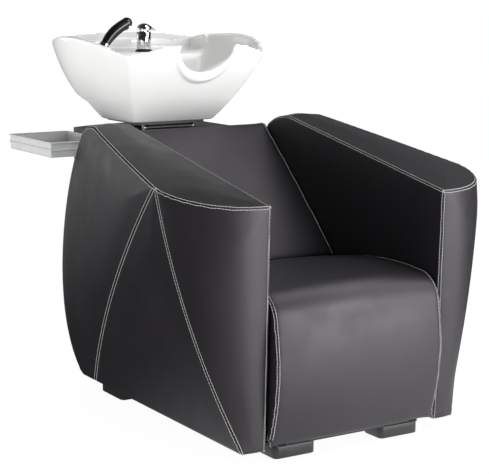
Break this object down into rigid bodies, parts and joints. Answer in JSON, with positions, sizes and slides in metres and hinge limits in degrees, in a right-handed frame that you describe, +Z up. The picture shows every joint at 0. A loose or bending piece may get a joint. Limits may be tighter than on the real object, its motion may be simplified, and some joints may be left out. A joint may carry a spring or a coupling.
{
  "type": "backwash unit",
  "caption": "Upholstered salon washing chair with splayed arms, a tilting ceramic neck bowl behind the backrest, mixer tap, hand shower and side tray.",
  "frame": {"origin": "on the floor, under the middle of the whole unit's box", "axes": "+X to the right seen from the front, +Y from the seat's front towards the bowl, +Z up"},
  "size_m": [0.926, 1.3024, 1.0393],
  "materials": {
    "charcoal_leather": "matt grained",
    "plywood": "raw",
    "black_board": "black stained",
    "black_steel": "satin",
    "zinc_steel": "zinc plated",
    "grey_feet": "satin",
    "black_cover": "satin",
    "white_glaze": "glazed ceramic, gloss",
    "black_rubber": "matt",
    "chrome": "polished",
    "grey_plastic": "satin",
    "brass": "turned",
    "black_gloss": "gloss",
    "pale_plastic": "satin"
  },
  "bodies": {
    "chair": {"left_arm": "charcoal_leather", "right_arm": "charcoal_leather", "seat_cushion": "charcoal_leather", "back_cushion": "charcoal_leather", "left_arm_board": "plywood", "right_arm_board": "plywood", "seat_board": "plywood", "back_board": "plywood", "back_batten_lower": "plywood", "back_batten_upper": "plywood", "cover_batten_left": "plywood", "cover_batten_right": "plywood", "front_board": "black_board", "side_tube_left": "black_steel", "side_tube_right": "black_steel", "cross_tube_front": "black_steel", "cross_tube_middle": "black_steel", "cross_tube_rear": "black_steel", "front_seat_rail": "black_steel", "rear_seat_rail": "black_steel", "bowl_column": "black_steel", "hinge_yoke": "black_steel", "tray_bracket": "black_steel", "foot_screws": "zinc_steel", "arm_bolts": "zinc_steel", "backrest_dowels": "zinc_steel", "seat_screws": "zinc_steel", "cover_screws": "zinc_steel", "column_bolts": "zinc_steel", "yoke_bolts": "zinc_steel", "hinge_pin": "zinc_steel", "bracket_screws": "zinc_steel", "foot_front_left": "grey_feet", "foot_rear_left": "grey_feet", "foot_front_right": "grey_feet", "foot_rear_right": "grey_feet", "rear_cover": "black_cover"},
    "bowl_unit": {"bowl_carrier": "black_steel", "bowl_pad": "black_rubber", "bowl": "white_glaze", "waste_flange": "chrome", "waste_nut": "grey_plastic", "waste_tail": "grey_plastic", "tap_ring": "black_rubber", "tap_body": "chrome", "tap_nut": "brass", "tap_cartridge": "grey_plastic", "shower_socket": "black_gloss", "socket_nut": "brass"},
    "strainer": {"hair_strainer": "chrome"},
    "mixer_stem": {"tap_stem": "chrome"},
    "mixer_lever": {"tap_lever": "chrome", "lever_pin": "zinc_steel"},
    "handset": {"shower_grip": "black_gloss", "shower_collar": "chrome", "spray_face": "chrome"},
    "tool_tray": {"tray": "pale_plastic"}
  },
  "joints": [
    {"name": "bowl_tilt", "type": "hinge", "parent": "chair", "child": "bowl_unit", "pos_m": [0, 0.34425, 0.727], "axis": [1, 0, 0], "range_deg": [-4, 12]},
    {"name": "strainer_lift", "type": "slide", "parent": "bowl_unit", "child": "strainer", "axis": [0, 0, 1], "range_m": [0, 0.08]},
    {"name": "mixer_turn", "type": "hinge", "parent": "bowl_unit", "child": "mixer_stem", "pos_m": [0.03, 0.54925, 1], "axis": [0, 0, 1], "range_deg": [-45, 45]},
    {"name": "mixer_lift", "type": "hinge", "parent": "mixer_stem", "child": "mixer_lever", "pos_m": [0.03, 0.54925, 1.0074], "axis": [0, -1, 0], "range_deg": [0, 20]},
    {"name": "handset_lift", "type": "slide", "parent": "bowl_unit", "child": "handset", "axis": [0.5, 0, 0.866], "range_m": [0, 0.15]},
    {"name": "tray_lift", "type": "slide", "parent": "chair", "child": "tool_tray", "axis": [0, 0, 1], "range_m": [0, 0.08]}
  ]
}
